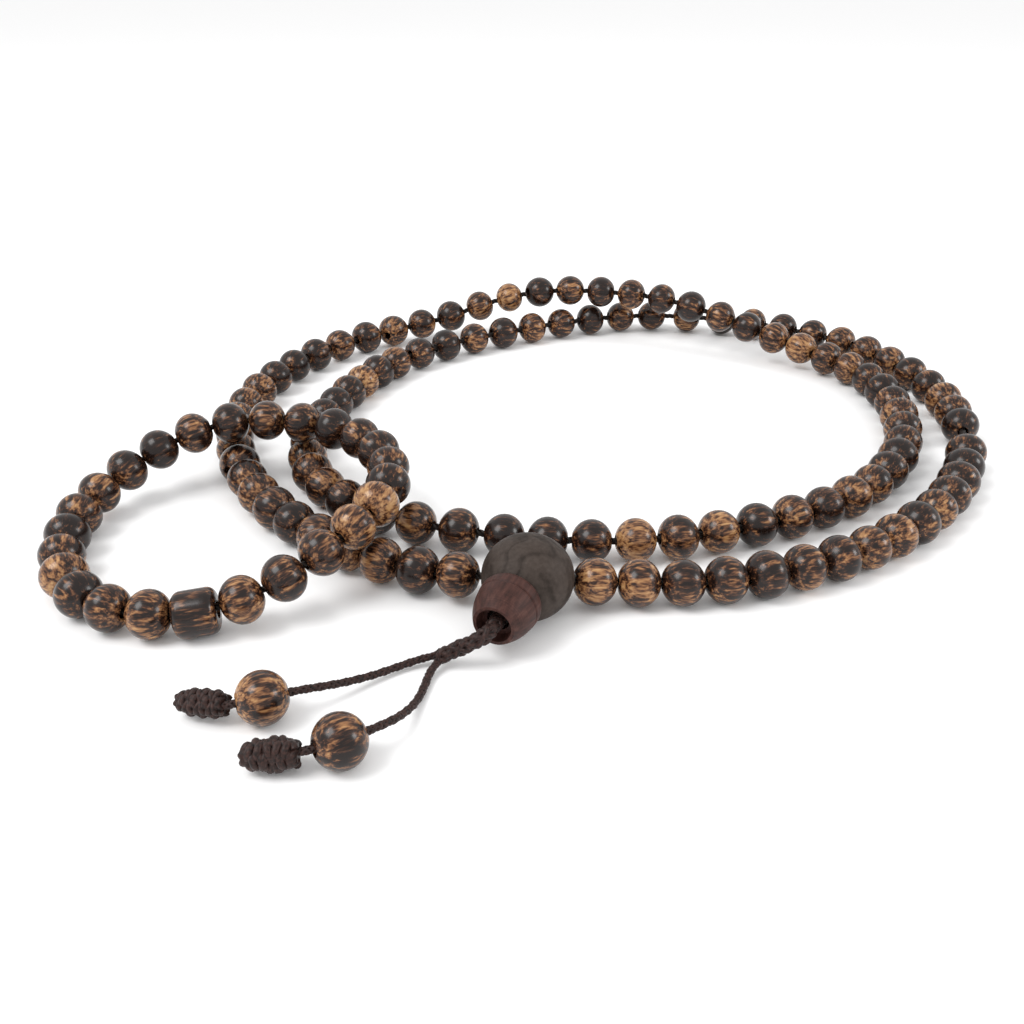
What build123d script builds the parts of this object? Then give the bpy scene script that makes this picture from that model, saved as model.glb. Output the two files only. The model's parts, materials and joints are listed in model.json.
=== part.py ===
from build123d import *
import os
from math import cos, pi, radians, sin, sqrt, tan

# A 108-bead mala with its guru bead, tower bead and two beaded tails, laid in two turns on a
# flat surface, and the matching 25-bead wrist mala that lies across its left side.
# Millimetres. +Z is up, the surface is Z = 0, and -Y is the side that the tails lie on.

# Counting beads
BEAD_DIAMETER = 8.5          # the largest bead; its centre sets the cord's height
DIAMETER_SPREAD = 0.5        # the smallest bead is this much less
BEAD_LENGTH = 7.3            # along the bore
LENGTH_SPREAD = 0.2
RING_BEAD_LENGTH = 7.1
BEAD_BORE = 2.0
END_ROUNDING = 0.2           # turned away at each end, where the rounded side is faced flat
SHOULDER_SHARE = 0.72        # how far out its side is shaped, as a share of half the length
THICK_STEP = 0.618034        # spreads the diameters evenly from bead to bead
LONG_STEP = 0.414214         # and the lengths
BARREL_DIAMETER = 7.9        # the one bead turned almost straight
BARREL_ROUNDING = 1.5
BEAD_GAP = 0.2               # smallest clearance between neighbours
LONG_COUNT = 108
TAIL_BEAD_DIAMETER = 8.15
TAIL_BEAD_LENGTH = 7.5
BARREL_BORE = 2.8            # the ring's cord is knotted inside this bead
RING_COUNT = 25

# Cords
CORD_DIAMETER = 1.4
RING_CORD_DIAMETER = 1.2
SINNET_DIAMETER = 2.9
ARC_SHARE = 0.45             # share of the shorter run that each corner's arc takes

# Guru bead: a flattened seed, drilled from both sides and from the front
GURU_DIAMETER = 15.5
GURU_HEIGHT = 14.6
GURU_POLE_TILT = 82          # degrees up its side where the worn flats of its top and foot start
GURU_SIDE_STEP = 27          # degrees between the points that shape its side
GURU_PORT = 2.6
GURU_THROAT = 3.6
GURU_CENTRE = Vector(-7.4, -70.0, GURU_HEIGHT / 2)

# Tower bead, measured along its axis from the guru bead's centre
TOWER_HEADING = 247.7        # degrees from +X, seen from above
TOWER_DROOP = 3.0            # degrees below level
TOWER_SEAT_RADIUS = 8.05
TOWER_SEAT_MIDDLE = 3.0      # radius of the hollow seat's middle ring
TOWER_BACK_RADIUS = 4.7
TOWER_WIDEST = 5.3
TOWER_WIDEST_AT = 8.1
TOWER_GROOVE_AT = 9.2
TOWER_GROOVE = 0.25
TOWER_LIP = 0.08             # how much the side draws in at each edge of the groove
TOWER_WAIST = 4.6            # the side's radius between the groove and the end
TOWER_WAIST_AT = 12.0
TOWER_END_AT = 14.4
TOWER_END_RADIUS = 3.5
TOWER_RIM = 0.55
TOWER_RECESS_DEPTH = 1.9
TOWER_RECESS_TAPER = 0.25
TOWER_HOLE = 3.1             # for the two strand ends
TOWER_BORE = 3.8             # drilled from the end, for the stop knot and the sinnet
TOWER_SHOULDER_AT = 10.0
STOP_KNOT_DIAMETER = 3.6
STOP_KNOT_LENGTH = 1.6
SHOULDER_GAP = 0.05
CORE_START = 0.35            # each strand end starts this far inside its port
CORE_APART = 0.73            # half the space between the two strand ends in the throat
CORE_TURN_AT = 0.6           # where they turn into the throat

# Tail knots
KNOT_LENGTH = 8.5
KNOT_A_RADIUS = 2.2
KNOT_A_WRAPS = 8
KNOT_B_RADIUS = 2.55
KNOT_B_WRAPS = 6
KNOT_VALLEY = 0.3
KNOT_TAPER = 0.3             # how much thinner the first and the last wrap are
RING_KNOT_LENGTH = 3.6
RING_KNOT_RADIUS = 1.3

FLOOR_HEIGHT = BEAD_DIAMETER / 2      # height of a cord through beads on the surface
OVER_HEIGHT = FLOOR_HEIGHT + BEAD_DIAMETER + BEAD_GAP


# Routes, chosen by hand. Each is the line of a cord's centre, seen from above, with its height.
LOW = FLOOR_HEIGHT
TOP = OVER_HEIGHT

# From the guru bead's right port, round the outer turn, under the crossing at the back, round
# the inner turn, over the crossing and back along the left to the guru bead's left port.
LONG_ROUTE = [
    (-0.4, -68.2, 5.5),
    (7.0, -66.8, LOW),
    (22.0, -67.2, LOW),
    (37.0, -63.6, LOW),
    (51.0, -57.4, LOW),
    (64.0, -47.9, LOW),
    (74.5, -36.9, LOW),
    (82.5, -24.4, LOW),
    (88.5, -10.4, LOW),
    (92.0, 4.6, LOW),
    (93.0, 19.6, LOW),
    (90.5, 35.1, LOW),
    (85.0, 50.1, LOW),
    (75.5, 63.1, LOW),
    (62.0, 72.6, LOW),
    (46.5, 79.1, LOW),
    (31.0, 81.6, LOW),
    (16.0, 79.1, LOW),
    (2.0, 73.1, LOW),
    (-11.5, 66.1, LOW),
    (-24.5, 58.1, LOW),
    (-36.0, 47.6, LOW),
    (-44.5, 34.6, LOW),
    (-50.0, 19.6, LOW),
    (-53.5, 4.1, LOW),
    (-54.5, -11.9, LOW),
    (-50.5, -26.9, LOW),
    (-40.5, -39.4, LOW),
    (-26.5, -46.9, LOW),
    (-11.0, -50.9, LOW),
    (4.0, -52.9, LOW),
    (19.0, -51.9, LOW),
    (33.5, -47.4, LOW),
    (46.5, -41.9, LOW),
    (58.5, -33.9, LOW),
    (68.0, -22.9, LOW),
    (75.0, -10.4, LOW),
    (79.0, 4.1, LOW),
    (80.5, 19.1, LOW),
    (78.5, 33.6, LOW),
    (71.0, 46.1, LOW + 0.3),
    (59.5, 54.1, LOW + 2.6),
    (46.0, 61.6, LOW + 6.4),
    (32.0, 70.1, TOP),
    (17.0, 75.6, TOP),
    (1.0, 78.1, TOP),
    (-14.5, 77.1, LOW + 6.0),
    (-29.0, 74.1, LOW + 1.4),
    (-42.5, 68.1, LOW),
    (-54.5, 58.1, LOW),
    (-64.0, 44.6, LOW),
    (-70.0, 29.1, LOW),
    (-73.0, 13.1, LOW),
    (-72.0, -2.9, LOW),
    (-67.5, -18.9, LOW),
    (-60.5, -33.4, LOW),
    (-50.5, -46.4, LOW),
    (-38.0, -56.9, LOW),
    (-24.5, -63.9, LOW),
    (-14.1, -66.7, 5.5),
]

# The wrist mala's cord, from the knot inside its barrel bead, round to the left and back, over
# the two turns of the long one, to the same knot.
RING_ROUTE = [
    (-61.6, -76.3, LOW + 0.1),
    (-71.5, -77.0, LOW),
    (-82.0, -71.6, LOW),
    (-88.6, -61.9, LOW),
    (-91.8, -49.9, LOW),
    (-92.0, -37.9, LOW + 0.4),
    (-86.5, -28.4, LOW + 3.2),
    (-77.0, -21.9, LOW + 7.4),
    (-65.5, -17.6, TOP + 0.4),
    (-53.5, -18.0, TOP),
    (-42.5, -23.4, TOP),
    (-35.0, -32.9, TOP),
    (-31.8, -44.9, TOP),
    (-34.0, -56.9, TOP),
    (-41.0, -66.9, LOW + 6.4),
    (-51.0, -74.0, LOW + 2.0),
    (-60.4, -76.2, LOW + 0.1),
]

# The sinnet, from outside the stop knot down to where it parts
SINNET_ROUTE = [
    (-13.55, -85.0, 6.2),
    (-17.4, -85.0, 4.0),
    (-21.2, -84.6, 1.8),
]

# The two tails, from the end of the sinnet to inside their end knots
TAIL_A_ROUTE = [
    (-21.2, -83.9, 1.7),
    (-24.2, -84.4, 1.2),
    (-27.6, -86.2, 1.0),
    (-31.6, -89.1, 1.3),
    (-36.2, -92.8, 2.6),
    (-41.0, -96.0, 4.05),
    (-49.3, -99.4, 4.2),
    (-52.6, -98.6, 3.0),
]

TAIL_B_ROUTE = [
    (-21.2, -85.3, 1.7),
    (-22.6, -87.3, 1.0),
    (-23.1, -90.4, 0.8),
    (-23.9, -94.3, 0.9),
    (-25.2, -98.8, 2.2),
    (-27.4, -103.6, 4.05),
    (-36.2, -109.3, 4.2),
    (-40.6, -108.4, 2.9),
]

# Where each end knot starts, and where it points
KNOT_A_START = Vector(-50.7, -98.3, 3.1)
KNOT_A_END = Vector(-59.0, -96.3, 2.4)
KNOT_B_START = Vector(-38.5, -108.3, 2.9)
KNOT_B_END = Vector(-46.9, -108.7, 2.7)

# Beads along the long route, from the right port: how many steps, and how long each is. The
# strand is slack, so the beads stand together at the front and apart at the back.
FIRST_BEAD_AT = 4.5
LAST_BEAD_FROM_END = 5.3
STEPS = [
    (1, 7.6),
    (10, 7.5),
    (3, 7.6),
    (1, 15.3),
    (2, 7.8),
    (9, 8.9),
    (2, 10.2),
    (9, 9.3),
    (7, 7.6),
    (4, 7.6),
    (4, 8.6),
    (11, 8.0),
    (13, 7.9),
    (12, 8.8),
    (8, 9.2),
    (11, None),
]
# Beads that are loose on their own: first and last number. The rest are in groups.
SINGLES = [(1, 12), (54, 64), (105, 108)]
GROUPS = [(13, 27), (28, 40), (41, 53), (65, 77), (78, 90), (91, 104)]
# Beads of the wrist mala, counted from its barrel bead round the left
RING_SINGLES = [(1, 5), (21, 24)]
RING_GROUPS = [(6, 13), (14, 20)]
TAIL_BEAD_A_AT = 29.0
TAIL_BEAD_B_AT = 26.9


FROM_BASE = (Align.CENTER, Align.CENTER, Align.MIN)


# Helpers
def corner_radii(points):
    """The radius of the tangent arc at each corner, as large as its two runs allow."""
    spots = [Vector(*p) for p in points]
    radii = []
    for i in range(1, len(spots) - 1):
        run_in = spots[i] - spots[i - 1]
        run_out = spots[i + 1] - spots[i]
        half_turn = radians(run_in.get_angle(run_out)) / 2
        radii.append(ARC_SHARE * min(run_in.length, run_out.length) / tan(half_turn))
    return radii


def route_wire(points):
    """A cord's centre line: straight runs joined by tangent arcs."""
    with BuildLine() as route:
        FilletPolyline(*points, radius=corner_radii(points))
    return route.wire()


def cord_solid(points, diameter, label):
    """A round cord along a route."""
    path = route_wire(points)
    with BuildPart() as cord:
        with BuildSketch(Plane(origin=path @ 0, z_dir=path % 0)):
            Circle(diameter / 2)
        sweep(path=path)
    radii = corner_radii(points)
    expected = pi * diameter**2 / 4 * path.length
    print(f"{label}: {path.length:.1f} mm, radii {min(radii):.1f} to {max(radii):.1f} mm,"
          f" volume {cord.part.volume:.1f} of {expected:.1f} mm3")
    return cord.part


def profile_plane(centre, along):
    """A plane through a turned piece's axis: its Y runs along the axis, its X is level."""
    level = along.cross(Vector(0, 0, 1)).normalized()
    return Plane(origin=centre, x_dir=level, z_dir=level.cross(along))


def place_on(path, distance, half_length):
    """Where a bead's centre sits at a distance along a cord, and its bore's direction."""
    before = path.position_at(distance - half_length, PositionMode.LENGTH)
    after = path.position_at(distance + half_length, PositionMode.LENGTH)
    middle = path.position_at(distance, PositionMode.LENGTH)
    centre = ((before + after) / 2 + middle) / 2
    return centre, (after - before).normalized()


def bead_size(number):
    """Diameter and length of one turned bead: no two neighbours are quite alike."""
    thick = (number * THICK_STEP) % 1.0
    long = (number * LONG_STEP) % 1.0
    return BEAD_DIAMETER - DIAMETER_SPREAD * thick, BEAD_LENGTH - LENGTH_SPREAD * long


def bead_side(diameter, length, share):
    """A point on a bead's oval side, at a share of half its length from the middle."""
    half = length / 2
    place = half * share
    return diameter / 2 * sqrt(1 - (place / (half + END_ROUNDING)) ** 2), place


def turned_beads(places, sizes):
    """One solid for each place: a drilled bead with a rounded side and faced ends."""
    with BuildPart() as beads:
        for (centre, along), (diameter, length) in zip(places, sizes):
            end = bead_side(diameter, length, 1)
            shoulder = bead_side(diameter, length, SHOULDER_SHARE)
            foot = (end[0], -end[1])
            with BuildSketch(profile_plane(centre, along)):
                with BuildLine():
                    Spline(foot, (shoulder[0], -shoulder[1]), (diameter / 2, 0), shoulder, end)
                    Polyline(end, (BEAD_BORE / 2, end[1]), (BEAD_BORE / 2, foot[1]), foot)
                make_face()
            revolve(axis=Axis(centre, along))
    return beads.part


def barrel_bead(place, length):
    """The straight-sided bead, drilled wider for the knot inside it."""
    centre, along = place
    wall = (BARREL_DIAMETER - BARREL_BORE) / 2
    with BuildPart() as bead:
        with BuildSketch(profile_plane(centre, along)) as profile:
            with Locations(((BARREL_BORE + wall) / 2, 0)):
                Rectangle(wall, length)
            outer = profile.vertices().sort_by(SortBy.DISTANCE)[-2:]
            fillet(outer, BARREL_ROUNDING)
        revolve(axis=Axis(centre, along))
    return bead.part


def wrapped_knot(start, end, radius, wraps, length, taper=KNOT_TAPER):
    """A knot of close wraps round a cord, thinner at its two ends."""
    along = (end - start).normalized()
    pitch = length / wraps
    with BuildPart() as knot:
        with BuildSketch(profile_plane(start, along)):
            with BuildLine():
                spots = []
                for i in range(wraps + 1):
                    edge = abs(2 * i / wraps - 1) ** 4
                    spots.append((radius - KNOT_VALLEY - taper * edge, i * pitch))
                for i in range(wraps):
                    edge = abs(2 * (i + 0.5) / wraps - 1) ** 4
                    crest = (radius - taper * edge, (i + 0.5) * pitch)
                    ThreePointArc(spots[i], crest, spots[i + 1])
                Polyline(spots[-1], (0, length), (0, 0), spots[0])
            make_face()
        revolve(axis=Axis(start, along))
    return knot.part


def write(part, name):
    """Label a finished piece and write it to its own file."""
    part.label = name
    export_step(part, f"parts/{name}.step")


def tell(name, place):
    """Print where a loose piece's axis is, for its joint."""
    print(f"{name} at {[round(v, 3) for v in place[0]]} along {[round(v, 5) for v in place[1]]}")


os.makedirs("parts", exist_ok=True)

# The long mala's cord, from port to port of the guru bead
write(cord_solid(LONG_ROUTE, CORD_DIAMETER, "strand cord"), "strand_cord")

# Its counting beads
long_path = route_wire(LONG_ROUTE)
fixed_steps = sum(count * step for count, step in STEPS if step)
slack_count = sum(count for count, step in STEPS if step is None)
slack_step = (long_path.length - FIRST_BEAD_AT - LAST_BEAD_FROM_END - fixed_steps) / slack_count
distances = [FIRST_BEAD_AT]
for count, step in STEPS:
    for _ in range(count):
        distances.append(distances[-1] + (step or slack_step))
print(f"strand: {len(distances)} beads, the last {slack_count} {slack_step:.2f} mm apart")
places = [place_on(long_path, d, bead_size(n)[1] / 2) for n, d in enumerate(distances, 1)]
sizes = [bead_size(n) for n in range(1, LONG_COUNT + 1)]
for first, last in SINGLES:
    for n in range(first, last + 1):
        write(turned_beads(places[n - 1:n], sizes[n - 1:n]), f"bead_{n:03d}")
        tell(f"bead_{n:03d}", places[n - 1])
for first, last in GROUPS:
    write(turned_beads(places[first - 1:last], sizes[first - 1:last]), f"beads_{first:03d}_{last:03d}")

# The wrist mala: its barrel bead covers the knot, the others share the rest of the cord
write(cord_solid(RING_ROUTE, RING_CORD_DIAMETER, "ring cord"), "ring_cord")
ring_path = route_wire(RING_ROUTE)
ring_start = ring_path @ 0
ring_end = ring_path @ 1
barrel_centre = (ring_start + ring_end) / 2
barrel_along = ((ring_path % 0) + (ring_path % 1)).normalized()
barrel_place = (barrel_centre, barrel_along)
tied_gap = (ring_end - ring_start).length
ring_step = (ring_path.length + tied_gap) / RING_COUNT
print(f"ring: {RING_COUNT} beads, {ring_step:.2f} mm apart")
ring_places = []
ring_sizes = []
for n in range(1, RING_COUNT):
    diameter = bead_size(n + LONG_COUNT)[0]
    length = RING_BEAD_LENGTH - LENGTH_SPREAD / 2 * ((n * LONG_STEP) % 1.0)
    ring_sizes.append((diameter, length))
    ring_places.append(place_on(ring_path, n * ring_step - tied_gap / 2, length / 2))
write(barrel_bead(barrel_place, RING_BEAD_LENGTH), "ring_barrel_bead")
tell("ring_barrel_bead", barrel_place)
for first, last in RING_SINGLES:
    for n in range(first, last + 1):
        write(turned_beads(ring_places[n - 1:n], ring_sizes[n - 1:n]), f"ring_bead_{n:02d}")
        tell(f"ring_bead_{n:02d}", ring_places[n - 1])
for first, last in RING_GROUPS:
    group = turned_beads(ring_places[first - 1:last], ring_sizes[first - 1:last])
    write(group, f"ring_beads_{first:02d}_{last:02d}")

# The ring cord's joining knot, inside the barrel bead
half_knot = RING_KNOT_LENGTH / 2
ring_knot_start = barrel_centre - barrel_along * half_knot
ring_knot_end = barrel_centre + barrel_along * half_knot
write(wrapped_knot(ring_knot_start, ring_knot_end, RING_KNOT_RADIUS, 3, RING_KNOT_LENGTH, 0), "ring_knot")

# The tower bead's axis runs out of the guru bead's centre
tower_along = Vector(
    cos(radians(TOWER_HEADING)) * cos(radians(TOWER_DROOP)),
    sin(radians(TOWER_HEADING)) * cos(radians(TOWER_DROOP)),
    -sin(radians(TOWER_DROOP)),
)
tower_side = tower_along.cross(Vector(0, 0, 1)).normalized()
ports = [Vector(*LONG_ROUTE[0]), Vector(*LONG_ROUTE[-1])]

# Guru bead
with BuildPart() as guru_bead:
    with BuildSketch(Plane(origin=GURU_CENTRE, x_dir=(0, -1, 0), z_dir=(-1, 0, 0))):
        with BuildLine():
            tilts = [-GURU_POLE_TILT] + [GURU_SIDE_STEP * i for i in range(-2, 3)] + [GURU_POLE_TILT]
            turns = [radians(tilt) for tilt in tilts]
            side = [(GURU_DIAMETER / 2 * cos(t), GURU_HEIGHT / 2 * sin(t)) for t in turns]
            Spline(*side)
            Polyline(side[-1], (0, side[-1][1]), (0, side[0][1]), side[0])
        make_face()
    revolve(axis=Axis(GURU_CENTRE, (0, 0, 1)))
    for port in ports:
        with Locations(Plane(origin=GURU_CENTRE, z_dir=(port - GURU_CENTRE).normalized())):
            Cylinder(GURU_PORT / 2, GURU_DIAMETER, align=FROM_BASE, mode=Mode.SUBTRACT)
    with Locations(Plane(origin=GURU_CENTRE, z_dir=tower_along)):
        Cylinder(GURU_THROAT / 2, GURU_DIAMETER, align=FROM_BASE, mode=Mode.SUBTRACT)
write(guru_bead.part, "guru_bead")

# Tower bead
with BuildPart() as tower_bead:
    with BuildSketch(profile_plane(GURU_CENTRE, tower_along)):
        with BuildLine():
            hole = TOWER_HOLE / 2
            bore = TOWER_BORE / 2
            recess = TOWER_END_RADIUS - TOWER_RIM
            floor_at = TOWER_END_AT - TOWER_RECESS_DEPTH
            seat_in = (hole, sqrt(TOWER_SEAT_RADIUS**2 - hole**2))
            seat_out = (TOWER_BACK_RADIUS, sqrt(TOWER_SEAT_RADIUS**2 - TOWER_BACK_RADIUS**2))
            seat_mid = (TOWER_SEAT_MIDDLE, sqrt(TOWER_SEAT_RADIUS**2 - TOWER_SEAT_MIDDLE**2))
            ThreePointArc(seat_in, seat_mid, seat_out)
            shoulder = (TOWER_WIDEST, TOWER_WIDEST_AT)
            Spline(seat_out, shoulder, tangents=((0.8, 0.6), (0, 1)))
            groove_in = (TOWER_WIDEST - TOWER_LIP, TOWER_GROOVE_AT - TOWER_GROOVE)
            groove_low = (TOWER_WIDEST - TOWER_LIP - TOWER_GROOVE, TOWER_GROOVE_AT)
            groove_out = (TOWER_WIDEST - 2 * TOWER_LIP, TOWER_GROOVE_AT + TOWER_GROOVE)
            Polyline(shoulder, groove_in, groove_low, groove_out)
            waist = (TOWER_WAIST, TOWER_WAIST_AT)
            ThreePointArc(groove_out, waist, (TOWER_END_RADIUS, TOWER_END_AT))
            Polyline(
                (TOWER_END_RADIUS, TOWER_END_AT),
                (recess, TOWER_END_AT),
                (recess - TOWER_RECESS_TAPER, floor_at),
                (bore, floor_at),
                (bore, TOWER_SHOULDER_AT),
                (hole, TOWER_SHOULDER_AT),
                seat_in,
            )
        make_face()
    revolve(axis=Axis(GURU_CENTRE, tower_along))
write(tower_bead.part, "tower_bead")
tell("tower_bead", (GURU_CENTRE, tower_along))

# The two strand ends inside the guru bead, side by side through the throat to the stop knot
knot_at = TOWER_SHOULDER_AT + SHOULDER_GAP
cores = []
for port, side in zip(ports, (-1, 1)):
    inward = (GURU_CENTRE - port).normalized()
    beside = tower_side * side * CORE_APART
    core_route = [
        port + inward * CORE_START,
        GURU_CENTRE + beside + tower_along * CORE_TURN_AT,
        GURU_CENTRE + beside + tower_along * knot_at,
    ]
    core_route = [(p.X, p.Y, p.Z) for p in core_route]
    cores.append(cord_solid(core_route, CORD_DIAMETER, "strand end in the guru bead"))
with BuildPart() as guru_core_cord:
    add(cores)
write(guru_core_cord.part, "guru_core_cord")

# Stop knot against the shoulder inside the tower bead
stop_start = GURU_CENTRE + tower_along * knot_at
stop_end = GURU_CENTRE + tower_along * (knot_at + STOP_KNOT_LENGTH)
write(wrapped_knot(stop_start, stop_end, STOP_KNOT_DIAMETER / 2, 2, STOP_KNOT_LENGTH, 0), "tower_knot")

# Sinnet out of the tower bead, down to where it parts into the two tails
sinnet_route = [(stop_end.X, stop_end.Y, stop_end.Z)] + SINNET_ROUTE
write(cord_solid(sinnet_route, SINNET_DIAMETER, "sinnet"), "tail_sinnet")

# Tails, their beads and their end knots
write(cord_solid(TAIL_A_ROUTE, CORD_DIAMETER, "tail cord A"), "tail_cord_a")
write(cord_solid(TAIL_B_ROUTE, CORD_DIAMETER, "tail cord B"), "tail_cord_b")
tail_size = (TAIL_BEAD_DIAMETER, TAIL_BEAD_LENGTH)
place_a = place_on(route_wire(TAIL_A_ROUTE), TAIL_BEAD_A_AT, TAIL_BEAD_LENGTH / 2)
place_b = place_on(route_wire(TAIL_B_ROUTE), TAIL_BEAD_B_AT, TAIL_BEAD_LENGTH / 2)
write(turned_beads([place_a], [tail_size]), "tail_bead_a")
write(turned_beads([place_b], [tail_size]), "tail_bead_b")
tell("tail_bead_a", place_a)
tell("tail_bead_b", place_b)
write(wrapped_knot(KNOT_A_START, KNOT_A_END, KNOT_A_RADIUS, KNOT_A_WRAPS, KNOT_LENGTH), "end_knot_a")
write(wrapped_knot(KNOT_B_START, KNOT_B_END, KNOT_B_RADIUS, KNOT_B_WRAPS, KNOT_LENGTH), "end_knot_b")
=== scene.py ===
import json
from math import cos, pi, radians, sin, sqrt

import bpy
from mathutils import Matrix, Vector
import numpy as np


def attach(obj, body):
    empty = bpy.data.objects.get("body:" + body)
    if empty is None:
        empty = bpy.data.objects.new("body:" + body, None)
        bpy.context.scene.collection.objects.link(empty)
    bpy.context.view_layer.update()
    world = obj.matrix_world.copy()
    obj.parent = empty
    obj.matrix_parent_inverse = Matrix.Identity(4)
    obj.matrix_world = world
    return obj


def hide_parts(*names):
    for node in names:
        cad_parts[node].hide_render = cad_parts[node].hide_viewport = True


# A 108-bead mala laid in two turns, its guru bead, tower bead and two beaded tails, and a wrist
# mala across its left side. Metres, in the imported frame; MM turns the object's own millimetres.
MM = 0.001

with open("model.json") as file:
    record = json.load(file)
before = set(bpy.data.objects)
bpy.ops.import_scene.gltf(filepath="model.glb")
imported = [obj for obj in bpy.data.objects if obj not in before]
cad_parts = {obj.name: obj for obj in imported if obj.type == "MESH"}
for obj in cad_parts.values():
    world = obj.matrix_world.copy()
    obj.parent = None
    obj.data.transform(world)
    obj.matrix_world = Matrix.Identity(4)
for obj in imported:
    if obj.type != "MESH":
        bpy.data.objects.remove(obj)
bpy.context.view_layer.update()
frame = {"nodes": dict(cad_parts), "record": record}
RECORD = frame["record"]
BODIES = RECORD["behaviour"]["bodies"]
BODY_OF = {node: body for body, nodes in BODIES.items() for node in nodes}

# Camera, at the photograph's viewing angle
CAMERA_PLACE = (-10.0 * MM, -219.4 * MM, 98.9 * MM)
CAMERA_PITCH = 28.0
CAMERA_LENS = 37.2
CAMERA_SENSOR = 36.0
CAMERA_CLIP = 0.005

# Sizes the looks need: cords in metres, the rest in millimetres
CORD_DIAMETER = 1.4 * MM
RING_CORD_DIAMETER = 1.2 * MM
SINNET_DIAMETER = 2.9 * MM
BEAD_BORE = 2.0
BARREL_BORE = 2.8
END_ROUNDING = 0.2
BARREL_ROUNDING = 1.5
BORE_EDGE_DEPTH = 0.15       # worn edge of a bore, along it
BORE_EDGE = 0.12             # and outwards
BEAD_SEGMENTS = 44
BEAD_RINGS = 17
ROUNDING_STEPS = 6
BARREL_SIDE_STEPS = 5

# How each bead's grain is shifted and turned, by its number
GRAIN_SHIFTS = ((17.3, 97), (31.7, 89), (7.9, 83))
GRAIN_TURN = 2.4

# Telling a node's separate beads apart
WELD_STEP = 0.002 * MM
POINT_DIGITS = 7
ORDER_DIGITS = 5

# Twisted cords: the length of one turn, and how the plies fill the cord
PLIES = 3
STRAND_LAY = 4.2 * MM
RING_LAY = 3.6 * MM
LAY_STEPS = 14
PLY_DIVISOR = 4.31           # a cord's diameter over the radius of each of its three plies
PLY_SIDES = 8

# Braids: strands each way round, the length of one turn, and how deep the strands lie
BRAID_WAYS = 4
TAIL_LAY = 4.4 * MM
SINNET_LAY = 8.2 * MM
BRAID_STEPS = 22
BRAID_STRAND_SHARE = 0.17
BRAID_SIDES = 6
BRAID_WEAVE = 0.35
BRAID_CORE_SHARE = 0.96
BRAID_CORE_SIDES = 10
STRAND_SINK = 1.35           # depth of a strand's middle below the surface, in its radii

# Height of a cord through beads on the surface, and over another strand, in millimetres
LOW = 4.25
TOP = 12.95

# Routes in millimetres. The cords' are point for point as the CAD has them. The sinnet's starts at
# the stop knot and has more points, so that it leaves the tower bead clear of its rim.
LONG_ROUTE = [
    (-0.4, -68.2, 5.5),
    (7.0, -66.8, LOW),
    (22.0, -67.2, LOW),
    (37.0, -63.6, LOW),
    (51.0, -57.4, LOW),
    (64.0, -47.9, LOW),
    (74.5, -36.9, LOW),
    (82.5, -24.4, LOW),
    (88.5, -10.4, LOW),
    (92.0, 4.6, LOW),
    (93.0, 19.6, LOW),
    (90.5, 35.1, LOW),
    (85.0, 50.1, LOW),
    (75.5, 63.1, LOW),
    (62.0, 72.6, LOW),
    (46.5, 79.1, LOW),
    (31.0, 81.6, LOW),
    (16.0, 79.1, LOW),
    (2.0, 73.1, LOW),
    (-11.5, 66.1, LOW),
    (-24.5, 58.1, LOW),
    (-36.0, 47.6, LOW),
    (-44.5, 34.6, LOW),
    (-50.0, 19.6, LOW),
    (-53.5, 4.1, LOW),
    (-54.5, -11.9, LOW),
    (-50.5, -26.9, LOW),
    (-40.5, -39.4, LOW),
    (-26.5, -46.9, LOW),
    (-11.0, -50.9, LOW),
    (4.0, -52.9, LOW),
    (19.0, -51.9, LOW),
    (33.5, -47.4, LOW),
    (46.5, -41.9, LOW),
    (58.5, -33.9, LOW),
    (68.0, -22.9, LOW),
    (75.0, -10.4, LOW),
    (79.0, 4.1, LOW),
    (80.5, 19.1, LOW),
    (78.5, 33.6, LOW),
    (71.0, 46.1, LOW + 0.3),
    (59.5, 54.1, LOW + 2.6),
    (46.0, 61.6, LOW + 6.4),
    (32.0, 70.1, TOP),
    (17.0, 75.6, TOP),
    (1.0, 78.1, TOP),
    (-14.5, 77.1, LOW + 6.0),
    (-29.0, 74.1, LOW + 1.4),
    (-42.5, 68.1, LOW),
    (-54.5, 58.1, LOW),
    (-64.0, 44.6, LOW),
    (-70.0, 29.1, LOW),
    (-73.0, 13.1, LOW),
    (-72.0, -2.9, LOW),
    (-67.5, -18.9, LOW),
    (-60.5, -33.4, LOW),
    (-50.5, -46.4, LOW),
    (-38.0, -56.9, LOW),
    (-24.5, -63.9, LOW),
    (-14.1, -66.7, 5.5),
]

RING_ROUTE = [
    (-61.6, -76.3, LOW + 0.1),
    (-71.5, -77.0, LOW),
    (-82.0, -71.6, LOW),
    (-88.6, -61.9, LOW),
    (-91.8, -49.9, LOW),
    (-92.0, -37.9, LOW + 0.4),
    (-86.5, -28.4, LOW + 3.2),
    (-77.0, -21.9, LOW + 7.4),
    (-65.5, -17.6, TOP + 0.4),
    (-53.5, -18.0, TOP),
    (-42.5, -23.4, TOP),
    (-35.0, -32.9, TOP),
    (-31.8, -44.9, TOP),
    (-34.0, -56.9, TOP),
    (-41.0, -66.9, LOW + 6.4),
    (-51.0, -74.0, LOW + 2.0),
    (-60.4, -76.2, LOW + 0.1),
]

TAIL_A_ROUTE = [
    (-21.2, -83.9, 1.7),
    (-24.2, -84.4, 1.2),
    (-27.6, -86.2, 1.0),
    (-31.6, -89.1, 1.3),
    (-36.2, -92.8, 2.6),
    (-41.0, -96.0, 4.05),
    (-49.3, -99.4, 4.2),
    (-52.6, -98.6, 3.0),
]

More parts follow.
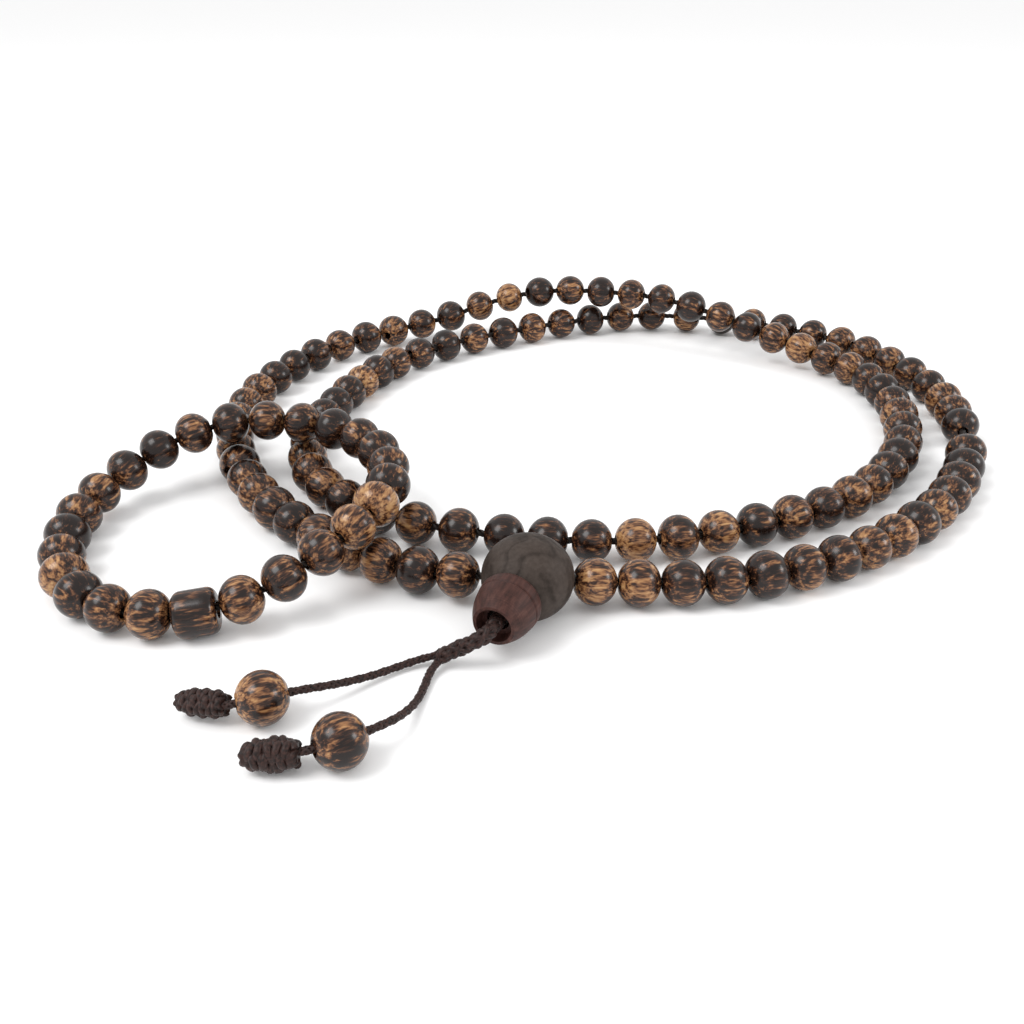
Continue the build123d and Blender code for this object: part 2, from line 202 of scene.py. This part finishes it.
TAIL_B_ROUTE = [
    (-21.2, -85.3, 1.7),
    (-22.6, -87.3, 1.0),
    (-23.1, -90.4, 0.8),
    (-23.9, -94.3, 0.9),
    (-25.2, -98.8, 2.2),
    (-27.4, -103.6, 4.05),
    (-36.2, -109.3, 4.2),
    (-40.6, -108.4, 2.9),
]

SINNET_ROUTE = [
    (-11.8, -80.8, 6.7),
    (-13.3, -84.0, 6.3),
    (-14.3, -85.1, 5.8),
    (-16.4, -85.2, 4.6),
    (-18.8, -84.9, 3.2),
    (-21.2, -84.6, 1.8),
]

# Each end knot: where it starts, where it points, its radius in millimetres and its wraps
KNOT_A = ((-50.7, -98.3, 3.1), (-59.0, -96.3, 2.4), 2.2, 8)
KNOT_B = ((-38.5, -108.3, 2.9), (-46.9, -108.7, 2.7), 2.55, 6)
KNOT_LENGTH = 8.5
KNOT_TURNS = 2
KNOT_STEPS = 96
KNOT_STRAND_SHARE = 0.44
KNOT_DRAW_IN = 0.3           # how much thinner its ends are
KNOT_FULLEST = 0.85          # twice the share of its length at which it is thickest
KNOT_FALL = 3
KNOT_WEAVE = 0.45
KNOT_SIDES = 9
KNOT_CORE_PLACES = (0.04, 0.35, 0.65, 0.93)
KNOT_CORE_SHARE = 0.58
KNOT_CORE_SIDES = 16

# How much pale wood a bead shows. Most vary by a formula. These stand out as pale or dark, and are
# given by node and by the bead's place in it, counted from 0 at the left.
TONE_STEP = 0.618034
TONE_MIDDLE = 0.66
TONE_SPREAD = 0.15
BEAD_TONES = {
    ("bead_001", 0): 0.07,
    ("bead_002", 0): 0.05,
    ("bead_003", 0): -0.03,
    ("bead_004", 0): -0.01,
    ("bead_009", 0): 0.04,
    ("bead_056", 0): 0.12,
    ("bead_058", 0): 0.06,
    ("bead_106", 0): 0.04,
    ("beads_028_040", 0): 0.1,
    ("beads_065_077", 3): 0.12,
    ("beads_078_090", 6): 0.11,
    ("ring_bead_04", 0): 0.1,
    ("ring_bead_21", 0): 0.07,
    ("ring_beads_14_20", 4): 0.12,
    ("tail_bead_a", 0): 0.07,
    ("tail_bead_b", 0): -0.02,
}

# Floor and lights, in metres and watts
FLOOR_CORNERS = [(-4, -4, 0), (4, -4, 0), (4, 8, 0), (-4, 8, 0)]
SOFTBOXES = [
    ("softbox_left", (-0.5, -0.25, 0.7), 0.42, 4.0),
    ("softbox_right", (0.75, -0.15, 0.4), 0.24, 1.8),
]


# Node graphs
def new_material(name, roughness, coat=0.0, coat_roughness=0.1, sheen=0.0):
    """A material with its constant values set on the shader's own sockets."""
    material = bpy.data.materials.new(name)
    material.use_nodes = True
    tree = material.node_tree
    shader = tree.nodes["Principled BSDF"]
    shader.inputs["Roughness"].default_value = roughness
    shader.inputs["Coat Weight"].default_value = coat
    shader.inputs["Coat Roughness"].default_value = coat_roughness
    shader.inputs["Sheen Weight"].default_value = sheen
    return material, tree, shader


def add_node(tree, kind, **values):
    """A node with its plain properties set."""
    node = tree.nodes.new(kind)
    for key, value in values.items():
        setattr(node, key, value)
    return node


def scaled_coords(tree, source, scale):
    """Stretched texture coordinates."""
    mapping = add_node(tree, "ShaderNodeMapping")
    mapping.inputs["Scale"].default_value = scale
    tree.links.new(source, mapping.inputs["Vector"])
    return mapping.outputs["Vector"]


def noise(tree, coords, scale, detail=3.0, roughness=0.55, distortion=0.0):
    """A noise value."""
    node = add_node(tree, "ShaderNodeTexNoise")
    node.inputs["Scale"].default_value = scale
    node.inputs["Detail"].default_value = detail
    node.inputs["Roughness"].default_value = roughness
    node.inputs["Distortion"].default_value = distortion
    tree.links.new(coords, node.inputs["Vector"])
    return node.outputs["Fac"]


def combine(tree, operation, a, b):
    """A sum, product or comparison of two values."""
    node = add_node(tree, "ShaderNodeMath", operation=operation)
    for socket, value in zip(node.inputs, (a, b)):
        if isinstance(value, (int, float)):
            socket.default_value = value
        else:
            tree.links.new(value, socket)
    return node.outputs["Value"]


def ramp(tree, factor, stops):
    """A colour ramp: stops are (position, (r, g, b))."""
    node = add_node(tree, "ShaderNodeValToRGB")
    elements = node.color_ramp.elements
    while len(elements) < len(stops):
        elements.new(0.5)
    for element, (position, colour) in zip(elements, stops):
        element.position = position
        element.color = (*colour, 1.0)
    tree.links.new(factor, node.inputs["Fac"])
    return node.outputs["Color"]


def bump(tree, shader, height, strength, distance):
    """Surface relief."""
    node = add_node(tree, "ShaderNodeBump")
    node.inputs["Strength"].default_value = strength
    node.inputs["Distance"].default_value = distance
    tree.links.new(height, node.inputs["Height"])
    tree.links.new(node.outputs["Normal"], shader.inputs["Normal"])


def palm_wood():
    """Polished black palm: near-black wood with tan dashes along the bore."""
    material, tree, shader = new_material("palm_wood", 0.24, coat=0.06, coat_roughness=0.06)
    shader.inputs["Specular IOR Level"].default_value = 0.32
    grain = add_node(tree, "ShaderNodeAttribute", attribute_name="grain").outputs["Vector"]
    tone = add_node(tree, "ShaderNodeAttribute", attribute_name="tone").outputs["Fac"]
    dashes = noise(tree, scaled_coords(tree, grain, (1.0, 1.0, 0.21)), 1.45, 2.5, 0.6, 0.25)
    fine = noise(tree, scaled_coords(tree, grain, (1.0, 1.0, 0.12)), 5.0, 2.0, 0.5)
    patches = noise(tree, scaled_coords(tree, grain, (1.0, 1.0, 0.6)), 0.3, 1.0)
    patchy = combine(tree, "MULTIPLY", combine(tree, "SUBTRACT", patches, 0.5), 0.4)
    level = combine(tree, "ADD", dashes, patchy)
    streaky = combine(tree, "MULTIPLY", combine(tree, "SUBTRACT", fine, 0.5), 0.24)
    level = combine(tree, "ADD", level, streaky)
    level = combine(tree, "ADD", level, tone)
    colour = ramp(tree, level, [
        (0.40, (0.009, 0.0042, 0.0030)),
        (0.50, (0.036, 0.0145, 0.0080)),
        (0.57, (0.120, 0.0500, 0.0230)),
        (0.65, (0.270, 0.1280, 0.0530)),
        (0.80, (0.450, 0.2550, 0.1120)),
    ])
    tree.links.new(colour, shader.inputs["Base Color"])
    bump(tree, shader, level, 0.1, 0.05 * MM)
    return material


def fibre_cord(name, dark, light, scale):
    """Waxed or nylon strands: fine lengthways fibres, a little sheen."""
    material, tree, shader = new_material(name, 0.5, sheen=0.04)
    shader.inputs["Specular IOR Level"].default_value = 0.25
    coords = add_node(tree, "ShaderNodeTexCoord").outputs["Object"]
    value = noise(tree, coords, scale, 3.0, 0.6)
    tree.links.new(ramp(tree, value, [(0.35, dark), (0.7, light)]), shader.inputs["Base Color"])
    bump(tree, shader, value, 0.3, 0.06 * MM)
    return material


def seed_skin():
    """The guru bead: a matte dark seed, finely pitted, with a few faint ridges."""
    material, tree, shader = new_material("guru_seed_skin", 0.6)
    shader.inputs["Specular IOR Level"].default_value = 0.18
    coords = add_node(tree, "ShaderNodeTexCoord").outputs["Object"]
    ridges = noise(tree, scaled_coords(tree, coords, (1.0, 1.0, 0.55)), 190.0, 1.5, 0.45, 0.9)
    pits = noise(tree, coords, 1100.0, 3.0, 0.6)
    folded = combine(tree, "ABSOLUTE", combine(tree, "SUBTRACT", ridges, 0.5), 0.0)
    folded = combine(tree, "MULTIPLY", folded, 9.0)
    crease = combine(tree, "MULTIPLY", combine(tree, "MINIMUM", folded, 1.0), 0.3)
    level = combine(tree, "ADD", crease, combine(tree, "MULTIPLY", pits, 0.7))
    colour = ramp(tree, level, [
        (0.3, (0.020, 0.0135, 0.010)),
        (0.55, (0.040, 0.029, 0.0235)),
        (0.85, (0.062, 0.047, 0.039)),
    ])
    tree.links.new(colour, shader.inputs["Base Color"])
    bump(tree, shader, level, 0.5, 0.22 * MM)
    return material


def turned_wood(centre, along):
    """The tower bead: matte reddish-brown wood with fine turning rings about its axis."""
    material, tree, shader = new_material("tower_wood_turned", 0.52)
    shader.inputs["Specular IOR Level"].default_value = 0.2
    coords = add_node(tree, "ShaderNodeTexCoord").outputs["Object"]
    mapping = add_node(tree, "ShaderNodeMapping", vector_type="TEXTURE")
    turn = Vector(along).to_track_quat("Z", "Y").to_euler()
    mapping.inputs["Location"].default_value = centre
    mapping.inputs["Rotation"].default_value = turn
    tree.links.new(coords, mapping.inputs["Vector"])
    local = mapping.outputs["Vector"]
    fibres = noise(tree, scaled_coords(tree, local, (1.0, 1.0, 0.15)), 1300.0, 3.0, 0.6)
    lathe = noise(tree, scaled_coords(tree, local, (0.0, 0.0, 1.0)), 5200.0, 1.0)
    fibrous = combine(tree, "MULTIPLY", fibres, 0.75)
    level = combine(tree, "ADD", fibrous, combine(tree, "MULTIPLY", lathe, 0.25))
    colour = ramp(tree, level, [
        (0.3, (0.016, 0.0070, 0.0055)),
        (0.52, (0.052, 0.0200, 0.0155)),
        (0.75, (0.095, 0.0410, 0.0310)),
    ])
    tree.links.new(colour, shader.inputs["Base Color"])
    bump(tree, shader, level, 0.22, 0.08 * MM)
    return material


# Meshes
def mesh_object(name, vertices, faces, material, smooth_angle=35.0):
    """A new smooth-shaded piece."""
    mesh = bpy.data.meshes.new(name)
    mesh.from_pydata(vertices, [], faces)
    mesh.materials.append(material)
    mesh.polygons.foreach_set("use_smooth", [True] * len(mesh.polygons))
    mesh.set_sharp_from_angle(angle=radians(smooth_angle))
    piece = bpy.data.objects.new(name, mesh)
    bpy.context.scene.collection.objects.link(piece)
    return piece


def bead_islands(node):
    """The separate beads of a CAD node: centre, bore direction, diameter and length of each."""
    mesh = frame["nodes"][node].data
    spots = np.array([v.co[:] for v in mesh.vertices])
    cells = np.round(spots / WELD_STEP).astype(np.int64)
    _, weld = np.unique(cells, axis=0, return_inverse=True)
    weld = weld.reshape(-1)
    parent = list(range(int(weld.max()) + 1))

    def root(i):
        while parent[i] != i:
            parent[i] = parent[parent[i]]
            i = parent[i]
        return i

    for edge in mesh.edges:
        a, b = (root(int(weld[v])) for v in edge.vertices)
        if a != b:
            parent[a] = b
    groups = {}
    for i, w in enumerate(weld):
        groups.setdefault(root(int(w)), []).append(i)
    beads = []
    for members in groups.values():
        points = np.unique(np.round(spots[members], POINT_DIGITS), axis=0)
        centre = (points.min(axis=0) + points.max(axis=0)) / 2
        _, axes = np.linalg.eigh(np.cov((points - centre).T))
        reach = [np.ptp(points @ axes[:, k]) for k in range(3)]
        k = int(np.argmin(reach))
        along = axes[:, k]
        middle = ((points @ along).min() + (points @ along).max()) / 2
        radial = points - np.outer(points @ along, along)
        centre = (radial.min(axis=0) + radial.max(axis=0)) / 2 + along * middle
        beads.append((Vector(centre), Vector(along), max(reach), min(reach)))
    beads.sort(key=lambda b: (round(b[0].x, ORDER_DIGITS), round(b[0].y, ORDER_DIGITS)))
    return beads


def bead_outline(diameter, length, bore, barrel):
    """Half outline of a drilled bead, as (radius, place along the bore), closed."""
    half = length / 2
    inner = bore / 2
    edge_depth = BORE_EDGE_DEPTH * MM
    edge = inner + BORE_EDGE * MM
    outline = [(inner, -half + edge_depth), (inner, half - edge_depth), (edge, half)]
    if barrel:
        rounding = BARREL_ROUNDING * MM
        side = diameter / 2 - rounding
        for i in range(ROUNDING_STEPS + 1):
            turn = pi / 2 * i / ROUNDING_STEPS
            outline.append((side + rounding * sin(turn), half - rounding + rounding * cos(turn)))
        for i in range(1, BARREL_SIDE_STEPS):
            outline.append((diameter / 2, (half - rounding) * (1 - 2 * i / BARREL_SIDE_STEPS)))
        for i in range(ROUNDING_STEPS + 1):
            turn = pi / 2 * i / ROUNDING_STEPS
            outline.append((side + rounding * cos(turn), -half + rounding - rounding * sin(turn)))
    else:
        reach = half + END_ROUNDING * MM
        for i in range(BEAD_RINGS):
            place = half * sin(pi / 2 * (1 - 2 * i / (BEAD_RINGS - 1)))
            outline.append((diameter / 2 * sqrt(1 - (place / reach) ** 2), place))
    outline.append((edge, -half))
    return outline


def bead_group(node, serial, material):
    """Detailed beads in place of a CAD bead node."""
    vertices, faces, grain, tone = [], [], [], []
    barrel = node == "ring_barrel_bead"
    bore = (BARREL_BORE if barrel else BEAD_BORE) * MM
    for index, (centre, along, diameter, length) in enumerate(bead_islands(node)):
        outline = bead_outline(diameter, length, bore, barrel)
        side = along.cross(Vector((0, 0, 1))).normalized()
        up = side.cross(along)
        start = len(vertices)
        shift = Vector([serial * step % span for step, span in GRAIN_SHIFTS])
        shade = (serial * TONE_STEP) % 1.0
        level = BEAD_TONES.get((node, index), (shade - TONE_MIDDLE) * TONE_SPREAD)
        turn = serial * GRAIN_TURN
        for i in range(BEAD_SEGMENTS):
            angle = 2 * pi * i / BEAD_SEGMENTS
            outward = side * cos(angle) + up * sin(angle)
            for radius, place in outline:
                vertices.append(centre + outward * radius + along * place)
                spot = Vector((radius * cos(angle + turn), radius * sin(angle + turn), place))
                grain.append(spot / MM + shift)
                tone.append(level)
        count = len(outline)
        for i in range(BEAD_SEGMENTS):
            for k in range(count):
                a = start + i * count + k
                b = start + i * count + (k + 1) % count
                c = start + (i + 1) % BEAD_SEGMENTS * count + (k + 1) % count
                d = start + (i + 1) % BEAD_SEGMENTS * count + k
                faces.append((a, d, c, b))
        serial += 1
    piece = mesh_object(node + "_look", vertices, faces, material)
    grain_values = piece.data.attributes.new("grain", "FLOAT_VECTOR", "POINT").data
    grain_values.foreach_set("vector", [x for g in grain for x in g])
    tone_values = piece.data.attributes.new("tone", "FLOAT", "POINT").data
    tone_values.foreach_set("value", tone)
    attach(piece, BODY_OF[node])
    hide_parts(node)
    return serial


def smooth_line(route):
    """Points read from a route's NURBS spline, in metres."""
    curve = bpy.data.curves.new("route", "CURVE")
    curve.dimensions = "3D"
    spline = curve.splines.new("NURBS")
    spline.points.add(len(route) - 1)
    for point, place in zip(spline.points, route):
        point.co = (*(v * MM for v in place), 1.0)
    spline.order_u = 3
    spline.use_endpoint_u = True
    spline.resolution_u = 12
    holder = bpy.data.objects.new("route", curve)
    bpy.context.scene.collection.objects.link(holder)
    mesh = bpy.data.meshes.new_from_object(holder)
    line = [v.co.copy() for v in mesh.vertices]
    bpy.data.objects.remove(holder)
    bpy.data.meshes.remove(mesh)
    bpy.data.curves.remove(curve)
    return line


def even_steps(line, step):
    """Places at even steps along a line, each with two directions across it."""
    spots = np.array([p[:] for p in line])
    travelled = np.concatenate([[0.0], np.cumsum(np.linalg.norm(np.diff(spots, axis=0), axis=1))])
    count = max(2, int(travelled[-1] / step) + 1)
    marks = np.linspace(0, travelled[-1], count)
    places = [Vector([np.interp(m, travelled, spots[:, k]) for k in range(3)]) for m in marks]
    frames = []
    across = None
    for i, place in enumerate(places):
        ahead = (places[min(i + 1, count - 1)] - places[max(i - 1, 0)]).normalized()
        if across is None:
            across = ahead.cross(Vector((0, 0, 1))).normalized()
        across = (across - ahead * across.dot(ahead)).normalized()
        frames.append((marks[i], place, across.copy(), ahead.cross(across)))
    return frames


def tube(vertices, faces, centres, radius, sides):
    """Adds one round strand through its centres."""
    start = len(vertices)
    count = len(centres)
    across = None
    for i, centre in enumerate(centres):
        ahead = (centres[min(i + 1, count - 1)] - centres[max(i - 1, 0)]).normalized()
        if across is None:
            across = ahead.orthogonal().normalized()
        across = (across - ahead * across.dot(ahead)).normalized()
        other = ahead.cross(across)
        for k in range(sides):
            angle = 2 * pi * k / sides
            vertices.append(centre + (across * cos(angle) + other * sin(angle)) * radius)
    for i in range(count - 1):
        for k in range(sides):
            a = start + i * sides + k
            b = start + i * sides + (k + 1) % sides
            faces.append((a, b, b + sides, a + sides))
    faces.append(tuple(start + k for k in reversed(range(sides))))
    faces.append(tuple(start + (count - 1) * sides + k for k in range(sides)))


def braid(name, route, diameter, turn_length, material):
    """A round braid: as many strands one way round as the other, passing over and under."""
    line = smooth_line(route)
    steps = even_steps(line, turn_length / BRAID_STEPS)
    strand = diameter * BRAID_STRAND_SHARE
    core = diameter / 2 - strand * STRAND_SINK
    vertices, faces = [], []
    for way in (-1, 1):
        for k in range(BRAID_WAYS):
            centres = []
            for mark, place, across, other in steps:
                angle = way * 2 * pi * mark / turn_length + 2 * pi * k / BRAID_WAYS
                weave = 2 * pi * BRAID_WAYS * mark / turn_length + pi * k
                radius = core + way * strand * BRAID_WEAVE * cos(weave)
                centres.append(place + (across * cos(angle) + other * sin(angle)) * radius)
            tube(vertices, faces, centres, strand, BRAID_SIDES)
    middle = [place for _, place, _, _ in steps]
    tube(vertices, faces, middle, core * BRAID_CORE_SHARE, BRAID_CORE_SIDES)
    return mesh_object(name, vertices, faces, material, 80.0), line


def twisted(name, route, diameter, turn_length, material):
    """A laid cord of twisted plies."""
    line = smooth_line(route)
    steps = even_steps(line, turn_length / LAY_STEPS)
    ply = diameter / PLY_DIVISOR
    lay = diameter / 2 - ply
    vertices, faces = [], []
    for k in range(PLIES):
        centres = []
        for mark, place, across, other in steps:
            angle = 2 * pi * mark / turn_length + 2 * pi * k / PLIES
            centres.append(place + (across * cos(angle) + other * sin(angle)) * lay)
        tube(vertices, faces, centres, ply, PLY_SIDES)
    return mesh_object(name, vertices, faces, material, 80.0), line


def plaited_knot(name, start, end, radius, wraps, material):
    """Thick strands plaited round a cord, drawn in at both ends."""
    start, end = (Vector(p) * MM for p in (start, end))
    along = (end - start).normalized()
    side = along.cross(Vector((0, 0, 1))).normalized()
    up = side.cross(along)
    length = KNOT_LENGTH * MM
    ways = wraps // KNOT_TURNS
    turn_length = length / KNOT_TURNS
    thick = turn_length / ways * KNOT_STRAND_SHARE
    vertices, faces = [], []
    for way in (-1, 1):
        for k in range(ways):
            centres = []
            for i in range(KNOT_STEPS + 1):
                share = i / KNOT_STEPS
                mark = length * share
                drawn_in = KNOT_DRAW_IN * abs(2 * share - KNOT_FULLEST) ** KNOT_FALL
                bulge = radius * MM * (1 - drawn_in)
                angle = way * 2 * pi * mark / turn_length + 2 * pi * k / ways
                weave = 2 * pi * ways * mark / turn_length + pi * k
                out = bulge - thick * STRAND_SINK + way * thick * KNOT_WEAVE * cos(weave)
                place = thick + (length - 2 * thick) * share
                outward = side * cos(angle) + up * sin(angle)
                centres.append(start + along * place + outward * out)
            tube(vertices, faces, centres, thick, KNOT_SIDES)
    core = [start + along * (length * share) for share in KNOT_CORE_PLACES]
    tube(vertices, faces, core, radius * MM * KNOT_CORE_SHARE, KNOT_CORE_SIDES)
    return mesh_object(name, vertices, faces, material, 80.0)


# Camera
camera = bpy.data.objects.new("camera", bpy.data.cameras.new("camera"))
camera.data.lens = CAMERA_LENS
camera.data.sensor_width = CAMERA_SENSOR
camera.data.clip_start = CAMERA_CLIP
camera.location = CAMERA_PLACE
camera.rotation_euler = (radians(90 - CAMERA_PITCH), 0, 0)
bpy.context.scene.collection.objects.link(camera)
bpy.context.scene.camera = camera

# Cords
strand_fibre = fibre_cord("strand_fibre", (0.004, 0.0025, 0.002), (0.018, 0.010, 0.007), 2600.0)
tail_fibre = fibre_cord("tail_fibre", (0.007, 0.003, 0.0025), (0.050, 0.021, 0.016), 2200.0)


def place_cord(piece, body, nodes):
    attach(piece, body)
    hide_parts(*nodes)


strand, strand_line = twisted(
    "strand_cord_look", LONG_ROUTE, CORD_DIAMETER, STRAND_LAY, strand_fibre)
place_cord(strand, "strand", ["strand_cord"])
ring, ring_line = twisted(
    "ring_cord_look", RING_ROUTE, RING_CORD_DIAMETER, RING_LAY, strand_fibre)
place_cord(ring, "ring", ["ring_cord"])

knot_a = plaited_knot("end_knot_a_look", *KNOT_A, tail_fibre)
knot_b = plaited_knot("end_knot_b_look", *KNOT_B, tail_fibre)
for knot, node in ((knot_a, "end_knot_a"), (knot_b, "end_knot_b")):
    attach(knot, "guru_tail")
    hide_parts(node)
tail_a, line_a = braid("tail_cord_a_look", TAIL_A_ROUTE, CORD_DIAMETER, TAIL_LAY, tail_fibre)
place_cord(
    tail_a, "guru_tail", ["tail_cord_a"])
tail_b, line_b = braid("tail_cord_b_look", TAIL_B_ROUTE, CORD_DIAMETER, TAIL_LAY, tail_fibre)
place_cord(
    tail_b, "guru_tail", ["tail_cord_b"])
sinnet, _ = braid("tail_sinnet_look", SINNET_ROUTE, SINNET_DIAMETER, SINNET_LAY, tail_fibre)
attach(sinnet, "guru_tail")
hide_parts("tail_sinnet")

# Beads
wood = palm_wood()
serial = 1
for node in sorted(frame["nodes"]):
    if "bead" in node and node not in ("guru_bead", "tower_bead"):
        serial = bead_group(node, serial, wood)

# Guru bead, tower bead and the pieces hidden in them
joints = {joint["name"]: joint for joint in RECORD["behaviour"]["joints"]}
tower_joint = joints["tower_spin"]
finishes = {
    "guru_bead": seed_skin(),
    "tower_bead": turned_wood(tower_joint["pos_m"], tower_joint["axis"]),
    "guru_core_cord": strand_fibre,
    "tower_knot": strand_fibre,
    "ring_knot": strand_fibre,
}
for node, material in finishes.items():
    for slot in frame["nodes"][node].material_slots:
        slot.material = material

# Floor and light
white, white_tree, white_shader = new_material("floor_white", 0.9)
white_shader.inputs["Base Color"].default_value = (0.95, 0.95, 0.95, 1.0)
white_shader.inputs["Specular IOR Level"].default_value = 0.1
floor = mesh_object("floor", FLOOR_CORNERS, [(0, 1, 2, 3)], white)

world = bpy.data.worlds.new("studio")
bpy.context.scene.world = world
world.use_nodes = True
background = world.node_tree.nodes["Background"]
background.inputs["Color"].default_value = (1.0, 1.0, 1.0, 1.0)
background.inputs["Strength"].default_value = 1.0


def softbox(name, place, size, power):
    """A square area light that faces the object's middle."""
    light = bpy.data.objects.new(name, bpy.data.lights.new(name, "AREA"))
    light.data.shape = "SQUARE"
    light.data.size = size
    light.data.energy = power
    light.location = place
    light.rotation_euler = (-Vector(place)).to_track_quat("-Z", "Y").to_euler()
    bpy.context.scene.collection.objects.link(light)


for settings in SOFTBOXES:
    softbox(*settings)
bpy.context.scene.view_settings.view_transform = "Standard"
